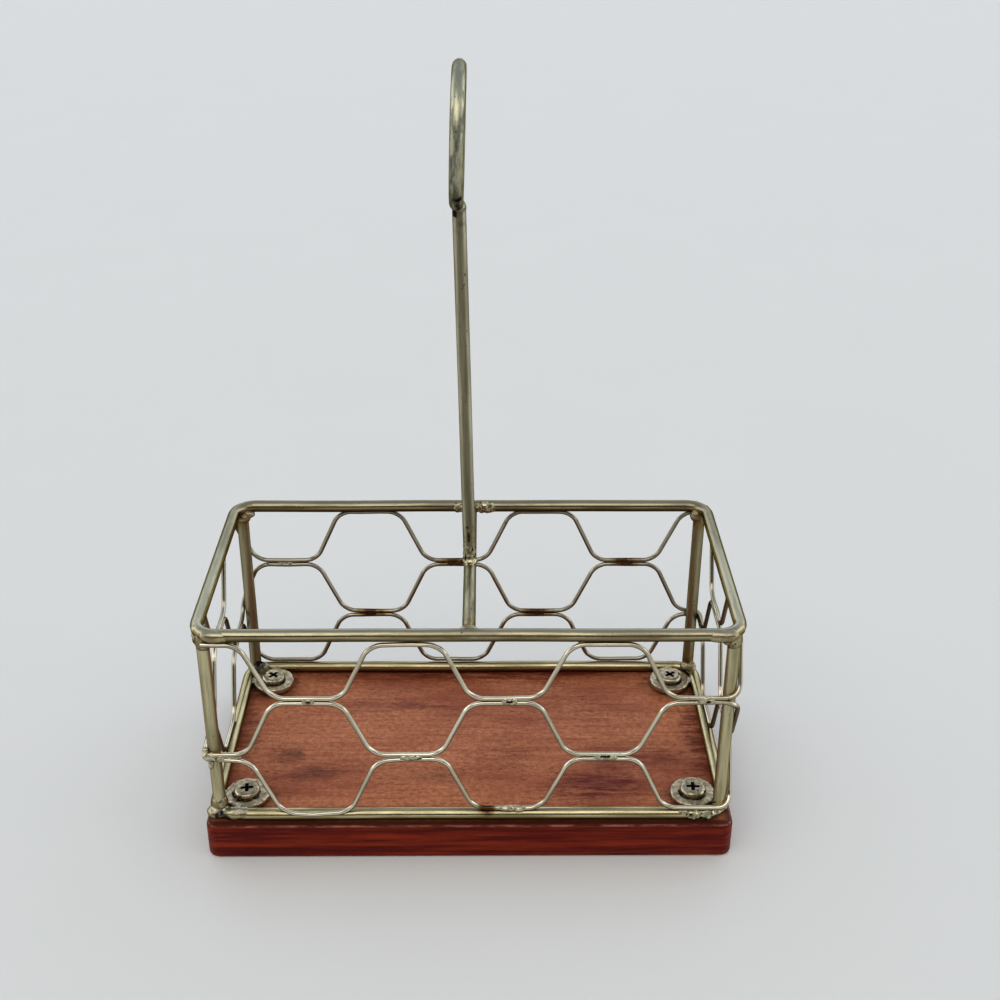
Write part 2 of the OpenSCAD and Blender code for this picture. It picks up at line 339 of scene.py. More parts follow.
# %% Mesh measures
# A lead shifts a wire's waves along its route, and a tail lengthens its far end, which curls up a little.
# The lowest wire has slipped down and out at the front.
mesh_r = 0.6 * MM
mesh_pitch = 47.7 * MM
mesh_flat = 16.8 * MM
mesh_bend_r = 5 * MM
mesh_step = 0.7 * MM
mesh_leads = {"upper": -0.2 * MM, "middle": 0.1 * MM, "lower": -0.8 * MM}
mesh_tails = {"upper": -1.6 * MM, "middle": 1.2 * MM, "lower": 0.5 * MM}
mesh_slip = 0.9 * MM
slip_out = 1.3
sway_swing = 0.18 * MM
sway_wave = 9 * MM
end_curl = 0.6
weld_gap = 0.1 * MM
print("thin wire %.1f mm" % (2 * mesh_r / MM))

# %% Heights and slope of the waves
mesh_off = frame_r + mesh_r + weld_gap
mesh_drop = math.sqrt(mesh_off ** 2 - max(mesh_off - post_inset, 0) ** 2)
mesh_stack = 2 * mesh_r + weld_gap
mesh_rise = (top_z - low_z - 2 * mesh_drop - 2 * mesh_stack) / 3
half_wave = mesh_pitch / 2
slope = math.atan(mesh_rise / (half_wave - mesh_flat))
mesh_middles = {"upper": top_z - mesh_drop - mesh_rise / 2}
mesh_middles["middle"] = mesh_middles["upper"] - mesh_rise - mesh_stack
mesh_middles["lower"] = mesh_middles["middle"] - mesh_rise - mesh_stack
print("waves rise %.2f mm at %.1f degrees" % (mesh_rise / MM, math.degrees(slope)))

# %% The route round the posts
side_lengths = [2 * post_place.x, 2 * post_place.y] * 2
turn_length = mesh_off * math.pi / 2
route_length = sum(side_lengths) + 3 * turn_length
print("route of %.1f mm" % (route_length / MM))


def on_route(along):
    """The place and the outward direction at a length along the mesh's route, seen from above."""
    left = along
    for side, length in enumerate(side_lengths):
        if left <= length + turn_length or side == 3:
            break
        left -= length + turn_length
    x, y = list(corner_signs.values())[side]
    run = min(left, length)
    heading = side * math.pi / 2 + max(left - length, 0) / mesh_off
    travel = Vector((math.cos(side * math.pi / 2), math.sin(side * math.pi / 2)))
    outward = Vector((math.sin(heading), -math.cos(heading)))
    place = Vector((x * post_place.x, y * post_place.y)) + run * travel + mesh_off * outward
    return place, outward


# %% Stops of a wave
def wave_stops(row, first):
    """The corners of one flat wave; first is 1 where the wave starts high and -1 where it starts low."""
    lead = mesh_leads[row]
    end = route_length + mesh_tails[row]
    stops = [Vector((0, 0, first * mesh_rise / 2))]
    flat = 0
    while flat * half_wave - lead < end:
        height = first * (-1) ** flat * mesh_rise / 2
        for edge in (-mesh_flat / 2, mesh_flat / 2):
            along = flat * half_wave - lead + edge
            if 0 < along < end:
                stops.append(Vector((along, 0, height)))
        flat += 1
    last_flat = round((end + lead) / half_wave)
    stops.append(Vector((end, 0, first * (-1) ** last_flat * mesh_rise / 2)))
    return stops


# %% Three wave wires
def bend_wave_wire(row, first, seed):
    """One mesh wire, bent flat and then wrapped round the posts."""
    line = lay_line("mesh_%s_wire" % row, wave_stops(row, first))
    choose(line, "VERT", lambda v: len(v.link_edges) == 2)
    bpy.ops.mesh.bevel(offset=mesh_bend_r * math.tan(slope / 2), segments=8, affect="VERTICES")
    cut_long_edges(line, mesh_step)
    start_fresh()
    for point in line.data.vertices:
        along = point.co.x
        place, outward = on_route(along)
        sway = sway_swing * noise.noise(Vector((along / sway_wave, seed, 0)))
        curl = end_curl * max(along - route_length, 0)
        slip = mesh_slip * max(1 - abs(along - half_wave) / half_wave, 0) if row == "lower" else 0
        place += slip_out * slip * outward
        point.co = Vector((place.x, place.y, mesh_middles[row] + point.co.z + sway + curl - slip))
    return thicken(line, mesh_r, 4)


for number, (row, first) in enumerate({"upper": 1, "middle": -1, "lower": 1}.items()):
    fit(bend_wave_wire(row, first, 31 + number), "mesh_wire", "mesh_" + row)

# %% [markdown]
# ## Washers and screws
# A washer is welded into each inner corner of the bottom ring, and a pan head screw through it holds the
# basket to the board. A washer is a disc whose two faces are inset and bridged. A screw's head is a short
# cylinder with a rounded rim; its cross recess is cut by a tapered cross, as the punch that makes it is
# tapered.

# %% Washers
# The plate has dents of two sizes, each with its depth and width in mm, and is worn more at the front.
round_sides = 48
washer_edge_r = 0.5 * MM
washer_bore_r = 2.1 * MM
washer_step = 0.3 * MM
washer_dents = ((0.14, 1.7), (0.07, 0.6))
washer_wear = {"front_left": 1.7, "front_right": 1.2, "back_right": 0.8, "back_left": 0.7}


def punch_washer(corner, seed):
    """A punched disc with rounded rims, a little uneven."""
    low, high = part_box("washer_" + corner)
    radius = (high.x - low.x) / 2
    start_fresh()
    bpy.ops.mesh.primitive_cylinder_add(vertices=round_sides, radius=radius, depth=high.z - low.z,
                                        location=(low + high) / 2)
    washer = name_piece("washer_%s_plate" % corner)
    settle()
    edit(washer)
    choose(washer, "FACE", lambda f: abs(f.normal.z) > 0.9)
    bpy.ops.mesh.inset(thickness=radius - washer_bore_r, use_even_offset=True)
    bpy.ops.mesh.bridge_edge_loops()
    modify(washer, "BEVEL", width=washer_edge_r, segments=4, limit_method="ANGLE",
           angle_limit=math.radians(50))
    edit(washer)
    choose(washer, "EDGE", lambda e: e.calc_length() > washer_step)
    bpy.ops.mesh.subdivide(number_cuts=4)
    start_fresh()
    shifts = (Vector((seed, 0, 0)), Vector((0, seed, 0)))
    for point in washer.data.vertices:
        for (deep, wide), shift in zip(washer_dents, shifts):
            dent = noise.noise_vector(point.co / (wide * MM) + shift)
            point.co += washer_wear[corner] * deep * MM * dent
    close_up(washer, 50)
    fit(washer, "fastener", "washer_" + corner)


for number, corner in enumerate(corner_signs):
    punch_washer(corner, 41 + number)

# %% Screw measures
head_r = 3.3 * MM
head_h = 1.5 * MM
head_rim_r = 0.9 * MM
head_seat_r = 0.4 * MM
recess_half = 2.3 * MM
recess_slot = 1.3 * MM
recess_deep = 1.3 * MM
recess_taper = 0.45
recess_lip = 0.08 * MM
recess_turns = {"front_left": 8, "front_right": -4, "back_left": 52, "back_right": 35}
shank_r = 1.3 * MM
ridge_r = 1.55 * MM
ridge_step = 0.45 * MM
point_length = 2.5 * MM
point_taper = 0.05
hair = 0.01 * MM
print("screw heads %.1f mm across" % (2 * head_r / MM))


# %% Cross punch
def cross_punch(place, turn):
    """A cross that narrows downwards, to cut the recess."""
    start_fresh()
    parts = []
    for quarter in (0, 1):
        bpy.ops.mesh.primitive_cube_add(size=1, location=place)
        arm = bpy.context.object
        arm.scale = (2 * recess_half, recess_slot, 2 * recess_deep)
        arm.rotation_euler.z = turn + quarter * math.pi / 2
        bpy.ops.object.transform_apply(location=False, rotation=True, scale=True)
        edit(arm)
        choose(arm, "FACE", lambda f: f.normal.z < -0.9)
        bpy.ops.transform.resize(value=(recess_taper, recess_taper, 1), center_override=place)
        bpy.ops.mesh.select_all(action="SELECT")
        bpy.ops.mesh.bisect(plane_co=place - Vector((0, 0, recess_lip)), plane_no=(0, 0, 1))
        parts.append(arm)
        start_fresh()
    modify(parts[0], "BOOLEAN", operation="UNION", object=parts[1], solver="EXACT")
    bpy.data.objects.remove(parts[1])
    return parts[0]


# %% Head and shank
def turn_screw(corner, low, high, seat):
    """A pan head on a plain shank with rolled ridges and a point."""
    start_fresh()
    bpy.ops.mesh.primitive_cylinder_add(vertices=round_sides, radius=head_r, depth=head_h,
                                        location=seat + Vector((0, 0, head_h / 2)))
    screw = name_piece("screw_%s_head" % corner)
    settle()
    edit(screw)
    choose(screw, "EDGE", lambda e: all(v.co.z > high.z - hair for v in e.verts))
    bpy.ops.mesh.bevel(offset=head_rim_r, segments=7, affect="EDGES", profile=0.5)
    choose(screw, "EDGE", lambda e: all(v.co.z < seat.z + hair for v in e.verts))
    bpy.ops.mesh.bevel(offset=head_seat_r, segments=3, affect="EDGES")
    choose(screw, "FACE", lambda f: f.normal.z < -0.9)
    bpy.ops.mesh.inset(thickness=head_r - head_seat_r - shank_r)
    shank_end = low.z + point_length
    ridges = int((seat.z - shank_end) / (2 * ridge_step))
    for ridge in range(2 * ridges):
        bpy.ops.mesh.extrude_region_move(TRANSFORM_OT_translate={"value": (0, 0, -ridge_step)})
        grow = ridge_r / shank_r if ridge % 2 == 0 else shank_r / ridge_r
        bpy.ops.transform.resize(value=(grow, grow, 1), center_override=seat)
    bpy.ops.mesh.extrude_region_move(TRANSFORM_OT_translate={"value": (0, 0, low.z - shank_end)})
    bpy.ops.transform.resize(value=(point_taper, point_taper, 1), center_override=seat)
    return screw


# %% [markdown]
# ### Marks of scorch, soot and painted shade
# Each weld notes where heat and soot have marked the steel round it, and some welds and each screw note
# where shade is painted in the soot colour. The notes are kept in two lists while the pieces are made. The
# finishes show them later.

# %% Helpers for marks
heat_marks = {"scorch": [], "soot": []}


def mm(x, y, z):
    """A vector from millimetres."""
    return Vector((x * MM, y * MM, z * MM))


def burn(layer, place, reach, share, ring_r=0):
    """Notes a mark of scorch or soot, or of shade painted in the soot colour; a radius makes it a ring."""
    heat_marks[layer].append((place, ring_r, reach, share))


# %% Screws
def drive_screw(corner):
    """One screw with its recess cut, painted shade in the recess and a painted shadow under the front of the
    head.
    """
    low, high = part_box("screw_" + corner)
    seat = Vector(((low.x + high.x) / 2, (low.y + high.y) / 2, high.z - head_h))
    screw = turn_screw(corner, low, high, seat)
    punch = cross_punch(Vector((seat.x, seat.y, high.z)), math.radians(recess_turns[corner]))
    modify(screw, "BOOLEAN", operation="DIFFERENCE", object=punch, solver="EXACT")
    bpy.data.objects.remove(punch)
    close_up(screw, 35)
    # The recess is painted dark as shade with the soot colour.
    dirt = screw.data.attributes.new("soot", "FLOAT", "POINT")
    for point in screw.data.vertices:
        sunk = seat.z + 2 * hair < point.co.z < high.z - 0.9 * recess_lip
        inside = math.hypot(point.co.x - seat.x, point.co.y - seat.y) < recess_half
        dirt.data[point.index].value = 2 if sunk and inside else 0
    # A ring of the soot colour round the head, shifted to the front, is a painted shadow under the front of
    # the head.
    burn("soot", seat - mm(0.1, 0.35, 0), 0.5 * MM, 1.2, head_r)
    fit(screw, "fastener", "screw_" + corner)


for corner in corner_signs:
    drive_screw(corner)

# %% [markdown]
# ## Weld metal
# Where wires meet, weld metal has run into the corner between them. A weld is made as it flows: short stubs
# of the wires and a few round lumps are joined, remeshed into one skin and smoothed, which leaves a fillet
# in each corner. A little noise along the surface gives it the ripple and spatter of hand welding.

# %% Helper for welds
thin_r = 0.96 * frame_r
ripple_wave = 0.9 * MM
spatter_wave = 0.35 * MM
spatter_share = 0.35


def run_weld(name, stubs, lumps, grain, rough, seed, smooth):
    """One weld from stubs (from, to) and lumps (centre, three radii); grain is its finest size."""
    start_fresh()
    parts = []
    for foot, head in stubs:
        span = head - foot
        bpy.ops.mesh.primitive_cylinder_add(vertices=24, radius=thin_r, depth=span.length)
        turn = span.to_track_quat("Z", "Y").to_matrix().to_4x4()
        bpy.context.object.matrix_world = Matrix.Translation((foot + head) / 2) @ turn
        parts.append(bpy.context.object)
    for centre, radii in lumps:
        bpy.ops.mesh.primitive_ico_sphere_add(subdivisions=4, radius=1, location=centre)
        bpy.context.object.scale = radii
        parts.append(bpy.context.object)
    start_fresh()
    for part in parts:
        part.select_set(True)
    bpy.context.view_layer.objects.active = parts[0]
    bpy.ops.object.join()
    weld = name_piece(name)
    settle()
    modify(weld, "REMESH", mode="VOXEL", voxel_size=grain, use_smooth_shade=True)
    modify(weld, "SMOOTH", factor=0.5, iterations=smooth)
    start_fresh()
    outwards = [point.normal.copy() for point in weld.data.vertices]
    for point, outward in zip(weld.data.vertices, outwards):
        ripple = noise.noise(point.co / ripple_wave + Vector((seed, 0, 0)))
        spatter = noise.noise(point.co / spatter_wave + Vector((0, seed, 0)))
        point.co += (rough * ripple + spatter_share * rough * spatter) * outward
    close_up(weld, 60)
    return weld


# %% Helpers for corner welds
post_stub = 4.5
ring_stub = 2.2 * MM
corner_grain = 0.2 * MM
level_seeds = {"top": 11, "low": 6}


def beside_joint(corner, level, offset):
    """A place by a corner joint, from mm towards the middle in x and y, and away from the ring in z."""
    x, y = corner_signs[corner]
    z = low_z + offset[2] * MM if level == "low" else top_z - offset[2] * MM
    return Vector((x * (post_place.x - offset[0] * MM), y * (post_place.y - offset[1] * MM), z))


def corner_weld(corner, level, lumps, rough, burns, smooth=6):
    """The weld where a post meets a ring, all in mm.

    Lumps are an offset and radii; burns are a layer, an offset, a reach and a share."""
    x, y = corner_signs[corner]
    joint = beside_joint(corner, level, (0, 0, 0))
    tangent = Vector((x, -y, 0)).normalized()
    stubs = [(joint, beside_joint(corner, level, (0, 0, post_stub))),
             (joint - ring_stub * tangent, joint + ring_stub * tangent)]
    drops = [(beside_joint(corner, level, offset), mm(*radii)) for offset, radii in lumps]
    for layer, offset, reach, share in burns:
        burn(layer, beside_joint(corner, level, offset), reach * MM, share)
    seed = 3 * x + 5 * y + level_seeds[level]
    weld = run_weld("weld_%s_%s_bead" % (level, corner), stubs, drops, corner_grain, rough * MM, seed, smooth)
    fit(weld, "weld", "weld_%s_%s" % (level, corner))


# %% Upper corner welds
# Weld metal has run out along the front wire on both sides and hangs in short drips at the back. At the
# front left a row of marks in the soot colour along the top of the wire is a painted shadow in the gap under
# the loop, and at the front right small marks in the soot colour paint the shade of pits.
corner_weld("front_left", "top",
            [((3.8, -1.9, 0.1), (4, 1.7, 1.65)), ((4.4, -1.6, 2.3), (3.4, 0.8, 0.75)),
             ((0.2, 0, 2.6), (2, 2, 2.9)), ((-1.6, 0.9, 2.6), (0.9, 1.3, 1.3))], 0.05,
            [("soot", (-1.9, -0.6, 2.8), 0.9, 0.9), ("scorch", (1, 0, 2), 6, 0.15)]
            + [("soot", (3.4 + 0.5 * step, -2.4, 1.45), 0.4, 1.3) for step in range(4)], 10)
corner_weld("front_right", "top",
            [((3.6, -1.9, 0.1), (4.4, 1.7, 1.65)), ((2.1, -1.7, 1.7), (1.1, 0.9, 1.1)),
             ((0.1, 0, 2.4), (2, 2, 2.9))], 0.03,
            [("soot", (0.2, -1.9, 2.4), 0.35, 1), ("soot", (0.7, -1.9, 3), 0.3, 1),
             ("soot", (0.9, -1.8, 4), 0.4, 1.2), ("soot", (0.5, -1.8, 4.4), 0.3, 1),
             ("scorch", (1, 0, 2), 6, 0.12)], 10)
corner_weld("back_right", "top", [((1, 0.6, 1.9), (1.7, 1.5, 1.7))], 0.09,
            [("scorch", (0, 0, 3), 6, 0.5)])
corner_weld("back_left", "top", [((0.4, 0.8, 2.5), (2, 1.4, 1.3)), ((2, 0.3, 1.5), (1.6, 1.2, 1))], 0.09,
            [("scorch", (0, 0, 3), 6, 0.4)])

# %% Lower corner welds
# The weld at the front left is a rough pale collar with one burnt spot, and a mark in the soot colour by its
# washer is a painted shadow in the gap between the washer and the ring. The one at the front right ran along
# the wire in rough drops, with a crack painted dark as shade by a row of marks in the soot colour. Soot has
# settled on the one at the back left. Two tacks in each corner hold the washer.
tack_lumps = [((0.1, 5.9, 0.4), (0.75, 1.5, 0.75)), ((5.9, 0.1, 0.4), (1.5, 0.75, 0.75))]

corner_weld("front_left", "low",
            [((0, 0, 2.5), (2.1, 2, 2.6)), ((-0.7, -0.7, 0.2), (2.6, 2.5, 1.75)),
             ((4.6, -1.6, 0.2), (5.2, 1.75, 1.72))] + tack_lumps, 0.11,
            [("soot", (0.2, -2.6, 0.6), 2, 1), ("soot", (1.1, -2.9, 0), 2, 1),
             ("soot", (2, -3.1, -0.6), 1.8, 1), ("soot", (3.5, 2.6, -0.6), 2.2, 1.3)], 7)
corner_weld("front_right", "low",
            [((0, 0, 1.9), (1.9, 1.9, 1.9)), ((3.4, -2.3, 0), (2.6, 1.2, 1.65)),
             ((6.6, -2.4, 0.2), (2.8, 1.2, 1.6)), ((9.4, -2.2, 0.6), (1.8, 1, 1.1))] + tack_lumps, 0.22,
            [("soot", (2 + 0.6 * step, -3.2, -0.9 + 0.12 * step), 0.6, 1.4) for step in range(6)])
corner_weld("back_right", "low",
            [((-1.1, 1.3, 1.5), (1.3, 1.6, 1.9)), ((0.4, 0.5, 1.6), (1.8, 1.8, 1.6))] + tack_lumps, 0.12,
            [("scorch", (0, 0, 5), 6, 0.5), ("soot", (1.4, 2.4, 0), 1.4, 1.3)])
corner_weld("back_left", "low", [((1.8, 1.1, 1.6), (2.1, 1.7, 1.8))] + tack_lumps, 0.16,
            [("soot", (1.4, 1, 2.2), 2.8, 1.2)])

# %% Weld at the handle's foot
# Three lumps climb the rod. Soot has dripped down its front above them.
handle_grain = 0.17 * MM
across = Vector((1, 0, 0))
foot_lumps = [(1.4, (1.95, 2.4, 1.7)), (3.4, (1.75, 1.8, 2)), (5.8, (1.68, 1.72, 2.2))]

foot_weld = run_weld(
    "weld_rod_foot_bead",
    [(handle_foot, handle_foot + 6 * MM * handle_up), (handle_foot - mm(0, 3, 0), handle_foot + mm(0, 3, 0))],
    [(handle_foot + up * MM * handle_up, mm(*radii)) for up, radii in foot_lumps],
    handle_grain, 0.1 * MM, 61, 6)
fit(foot_weld, "weld", "weld_rod_foot")
rod_front = handle_foot - Vector((0, frame_r, 0))
for step in range(8):
    burn("soot", rod_front + (7.9 + 0.3 * step) * MM * handle_up - 0.1 * MM * across, 0.75 * MM, 0.9)
for aside in (-0.4, 1.2):
    burn("soot", rod_front + 11.8 * MM * handle_up + aside * MM * across, 0.7 * MM, 0.9)
burn("scorch", handle_foot + 9 * MM * handle_up, 7 * MM, 0.25)

# %% Weld at the handle's head
# A low bead joins the rod to the loop, and a streak of soot runs up the front of the loop. Each blot of the
# streak has its angle round the loop and its reach in mm.
streak = ((0.3, 0.9), (0.38, 0.9), (0.46, 0.9), (0.54, 0.9), (0.62, 1), (0.7, 1.2), (0.8, 1.8))

head_weld = run_weld(
    "weld_rod_head_bead",
    [(rod_top, rod_top - 4 * MM * handle_up), (loop_foot - mm(0, 2.5, 0), loop_foot + mm(0, 2.5, 0))],
    [(rod_top + 0.3 * MM * handle_up, mm(1.72, 1.85, 1.4)), (rod_top + mm(0.3, 0, 0.5), mm(1.3, 1.7, 1.5))],
    handle_grain, 0.04 * MM, 67, 8)
fit(head_weld, "weld", "weld_rod_head")
# These marks in the soot colour under the loop's end, on the rod's left front, are partly soot and partly a
# painted shadow of the loop.
for step in range(4):
    burn("soot", rod_top + mm(-1.1, -1.2, 0.3 - 0.5 * step), 0.8 * MM, 1.1)
for swing, reach in streak:
    outward = Vector((0, -math.sin(swing), -math.cos(swing)))
    burn("soot", loop_middle + (loop_r + frame_r) * outward, reach * MM, 1.05)
burn("soot", rod_top, 12 * MM, 0.4)

# %% Welds at the bar's ends
# The one at the front was ground flat; the one at the back was left as it ran along the wire.
bar_rough = {"front": 0.05, "back": 0.24}
bar_lumps = {"front": [((0, 1.6, 0), (2.3, 1.7, 1.7))],
             "back": [((0, 1.6, 0), (2.1, 1.6, 1.6)), ((4, 0.9, 0), (3.4, 1.2, 1.7)),
                      ((-3.2, 0.9, 0), (1.9, 1, 1.5))]}
for end, place in zip(("front", "back"), bar_ends):
    inward = Vector((0, -math.copysign(1, place.y), 0))
    weld = run_weld(
        "weld_bar_%s_bead" % end,
        [(place, place + 5 * MM * inward), (place - 4 * MM * across, place + 4 * MM * across)],
        [(place + mm(x, inward.y * y, z), mm(*radii)) for (x, y, z), radii in bar_lumps[end]],
        handle_grain, bar_rough[end] * MM, 71, 6)
    fit(weld, "weld", "weld_bar_" + end)
    burn("scorch", place + 3 * MM * inward, 6 * MM, 0.3)

# %% [markdown]
# ### Spot welds
# Two mesh wires that touch are pinched together by a spot weld, which leaves a small flat lens over the
# joint. Heat has turned the wire brown beside some of them, and others have a slit painted dark as shade. All
# of them are one piece, made of three lumps for each joint in the same way as the larger welds.

# %% Spot weld measures
# Joints are numbered along the route. A slit has its shift, its height and its half length in mm.
spot_half = 2.1 * MM
spot_halves = {1: 1.4 * MM, 2: 2.5 * MM, 3: 1.9 * MM, 4: 2.6 * MM, 5: 2 * MM}
spot_depth = 0.7 * MM
spot_tall = 1.02 * MM
spot_out = 0.14 * MM
spot_lift = 0.12 * MM
spot_drift = 0.8 * MM
dark_slits = {1: (0, 0.1, 0.4), 2: (2, -0.1, 0.2), 3: (0, 0.1, 0.5), 4: (-0.2, 0.4, 0.9), 5: (0.5, 0, 0.3)}
brown_spots = {9: 0.8, 10: 1, 11: 0.9, 12: 0.95}
joint_heights = {1: mesh_middles["upper"] - (mesh_rise + mesh_stack) / 2,
                 0: mesh_middles["lower"] + (mesh_rise + mesh_stack) / 2}
print("joints at heights of", [round(z / MM, 1) for z in joint_heights.values()], "mm")

# %% Spot welds of the mesh
spots = []
for flat in range(int(route_length / half_wave) + 1):
    along = flat * half_wave + spot_drift * (1 + noise.noise(Vector((flat * 1.7, 0.3, 0))))
    half = spot_halves.get(flat, spot_half)
    joint_z = joint_heights[flat % 2]
    for step in (-0.55, 0, 0.55):
        place, outward = on_route(max(along + step * half, 0))
        radii = (spot_depth, 0.6 * half, spot_tall)
        if abs(outward.y) > abs(outward.x):
            radii = (0.6 * half, spot_depth, spot_tall)
        lift = spot_lift * noise.noise(Vector((flat * 2.3, step * 5, 0)))
        out = spot_out * Vector((outward.x, outward.y, 0))
        spots.append((Vector((place.x, place.y, joint_z + lift)) + out, radii))
    place = on_route(along)[0]
    middle = Vector((place.x, place.y, joint_z))
    burn("scorch", middle, 6 * MM if flat in brown_spots else 5 * MM, brown_spots.get(flat, 0.1))
    # A slit is painted dark as shade in the soot colour.
    if flat in dark_slits:
        aside, above, slit_half = dark_slits[flat]
        for step in (-1, -0.5, 0, 0.5, 1):
            offset = Vector(((aside + step * slit_half) * MM, -spot_depth, above * MM))
            burn("soot", middle + offset, 0.5 * MM, 1.3)
print("lumps of spot welds", len(spots))

# %% Webs of weld metal on the mesh
# The wires start at the front left post in one pale web, and the lowest wire is smeared to the ring in the
# middle of the front.
start = Vector((*on_route(0)[0], joint_heights[0]))
spots.append((start + mm(-0.6, 0.3, -0.1), mm(2, 0.9, 1.35)))
spots.append((start + mm(3.1, 0, 0), mm(4, 0.5, 0.85)))
spots.append((start + mm(-0.7, 0.2, -2.6), mm(0.7, 0.6, 1.2)))
burn("soot", start + Vector((0.9 * MM, -spot_depth, 0.2 * MM)), 0.45 * MM, 1.2)
for row, side in (("middle", -1), ("lower", 1)):
    end_place = on_route(route_length + mesh_tails[row])[0]
    end_z = mesh_middles[row] + side * mesh_rise / 2 + end_curl * mesh_tails[row]
    spots.append((Vector((*end_place, end_z)), mm(0.8, 0.7, 0.75)))
smear = Vector((10.3 * MM, -ring_half.y - 0.9 * MM, low_z + 2.3 * MM))
spots.append((smear, mm(4, 0.75, 0.8)))
spots.append((smear + mm(2, 0, -0.2), mm(1.6, 0.85, 0.8)))
burn("scorch", smear - mm(6, 0, 0), 3 * MM, 0.95)
fit(run_weld("mesh_spot_welds", [], spots, 0.14 * MM, 0.19 * MM, 83, 2), "weld")

# %% [markdown]
# ## Finishes
# Each finish is a node material on the Principled shader. Patterns are laid out in object coordinates, so
# one millimetre on the object is one millimetre in the pattern. Colours are written as they look, in sRGB,
# and turned to linear light by one function.


# %% Helpers for materials
def linear(code):
    """An sRGB hex colour as linear red, green, blue and alpha."""
    values = [int(code[i:i + 2], 16) / 255 for i in (1, 3, 5)]
    return tuple(v / 12.92 if v <= 0.04045 else ((v + 0.055) / 1.055) ** 2.4 for v in values) + (1.0,)


def add(tree, kind, inputs=None, **settings):
    """Adds a node with its settings, and fills or links its inputs."""
    made = tree.nodes.new(kind)
    for setting, value in settings.items():
        setattr(made, setting, value)
    for socket, value in (inputs or {}).items():
        if isinstance(value, bpy.types.NodeSocket):
            tree.links.new(value, made.inputs[socket])
        else:
            made.inputs[socket].default_value = value
    return made


def per_mm(size):
    """A texture scale at which one feature is about this many millimetres."""
    return 1 / (size * MM)


def new_material(name):
    """An empty node material with an output."""
    material = bpy.data.materials.new(name)
    material.use_nodes = True
    tree = material.node_tree
    tree.nodes.clear()
    print("material", name)
    return material, tree, add(tree, "ShaderNodeOutputMaterial")


def dress(piece, material):
    """Gives a piece one material."""
    piece.data.materials.clear()
    piece.data.materials.append(material)


# %% [markdown]
# ### Tarnished steel
# Plain low-carbon wire pulled through a die, under a thin yellowish lacquer. The die leaves it smooth, so
# it shines in long lines, and faint lines of duller steel run along it: their noise is looked up by where
# the surface faces, which hardly changes along a wire, and only a little by place. Dust and a painted grey
# sheen of the sky lie on the upper sides, grime and painted shade lie below, handling leaves small dark
# specks, a painted dark reflection runs down the front of some wires, and the rear is painted darker as
# shade.
#
# Beside a weld the steel has kept the colours that heat gives it: straw, then brown, then soot. The soot
# colour also paints shade in gaps, cracks, pits and recesses and under the screw heads. How hot each point
# was is worked out from its distance to the marks and kept on the mesh as an attribute, so that the colours
# follow the real joints.

# %% Wear on steel
# Shares of wear and of painted shade, sheen and reflection that a steel has when nothing else is said. Pitted
# is the noise value where specks begin.
plain_wear = {"pitted": 0.69, "grimy": 0.3, "drawn": 0.0, "film": 0.0, "fronted": 0.0, "aged": 0.0}
speck_mm = 0.9
# Towards the rear the steel is painted darker as shade, between these two depths.
rear_start = -20 * MM
rear_end = 30 * MM


def steel_wear(tree, place, facing, patch_mm, pitted, grimy, drawn, film, fronted, aged):
    """How strong each kind of wear, painted shade and painted sheen is at a point of the steel."""
    drift = add(tree, "ShaderNodeVectorMath", {0: place, "Scale": per_mm(patch_mm)},
                operation="SCALE").outputs["Vector"]
    lines = add(tree, "ShaderNodeVectorMath", {0: facing, 1: (drawn, drawn, drawn), 2: drift},
                operation="MULTIPLY_ADD").outputs["Vector"]
    patches = add(tree, "ShaderNodeTexNoise", {
        "Vector": lines, "Scale": 1.0, "Detail": 5.0, "Roughness": 0.65})
    specks = add(tree, "ShaderNodeTexNoise", {"Vector": place, "Scale": per_mm(speck_mm), "Detail": 3.0})
    sides = add(tree, "ShaderNodeSeparateXYZ", {"Vector": facing}).outputs
    depth = add(tree, "ShaderNodeSeparateXYZ", {"Vector": place}).outputs["Y"]
    masks = {}
    # The front layer is a painted dark reflection on the sides that face the camera.
    for kind, value, start, end, share in (
            ("patch", patches.outputs["Fac"], 0.38, 0.64, 1.0),
            ("film", sides["Z"], 0.5, 0.95, film),
            ("front", sides["Y"], -0.7, -0.98, fronted),
            ("rear", depth, rear_start, rear_end, aged),
            ("speck", specks.outputs["Fac"], pitted, pitted + 0.08, 1.0),
            ("grime", sides["Z"], 0.35, -0.4, grimy)):
        masks[kind] = add(tree, "ShaderNodeMapRange", {
            "Value": value, "From Min": start, "From Max": end, "To Max": share},
            interpolation_type="SMOOTHSTEP").outputs["Result"]
    return masks


# %% Heat on steel
# Each colour has the attribute that it reads, and the amounts between which it appears.
# The soot colour also stands for painted shade in gaps, cracks, pits and recesses.
burn_colours = {"straw": ("scorch", "#7f6a44", 0.1, 0.5), "brown": ("scorch", "#4c3323", 0.4, 0.8),
                "soot": ("soot", "#1f1d22", 0.2, 0.9)}
flame_mm = 1.6


def steel_heat(tree, place):
    """How far each heat colour has come up at a point, with ragged edges as a flame leaves them."""
    flame = add(tree, "ShaderNodeTexNoise", {"Vector": place, "Scale": per_mm(flame_mm), "Detail": 4.0})
    flame = add(tree, "ShaderNodeMapRange", {
        "Value": flame.outputs["Fac"], "From Min": 0.3, "From Max": 0.7,
        "To Min": 0.5, "To Max": 1.4}).outputs["Result"]
    masks = {}
    for kind, (layer, _, start, end) in burn_colours.items():
        mark = add(tree, "ShaderNodeAttribute", attribute_name=layer).outputs["Fac"]
        mark = add(tree, "ShaderNodeMath", {0: mark, 1: flame}, operation="MULTIPLY").outputs["Value"]
        masks[kind] = add(tree, "ShaderNodeMapRange", {"Value": mark, "From Min": start, "From Max": end},
                          interpolation_type="SMOOTHSTEP").outputs["Result"]
    return masks


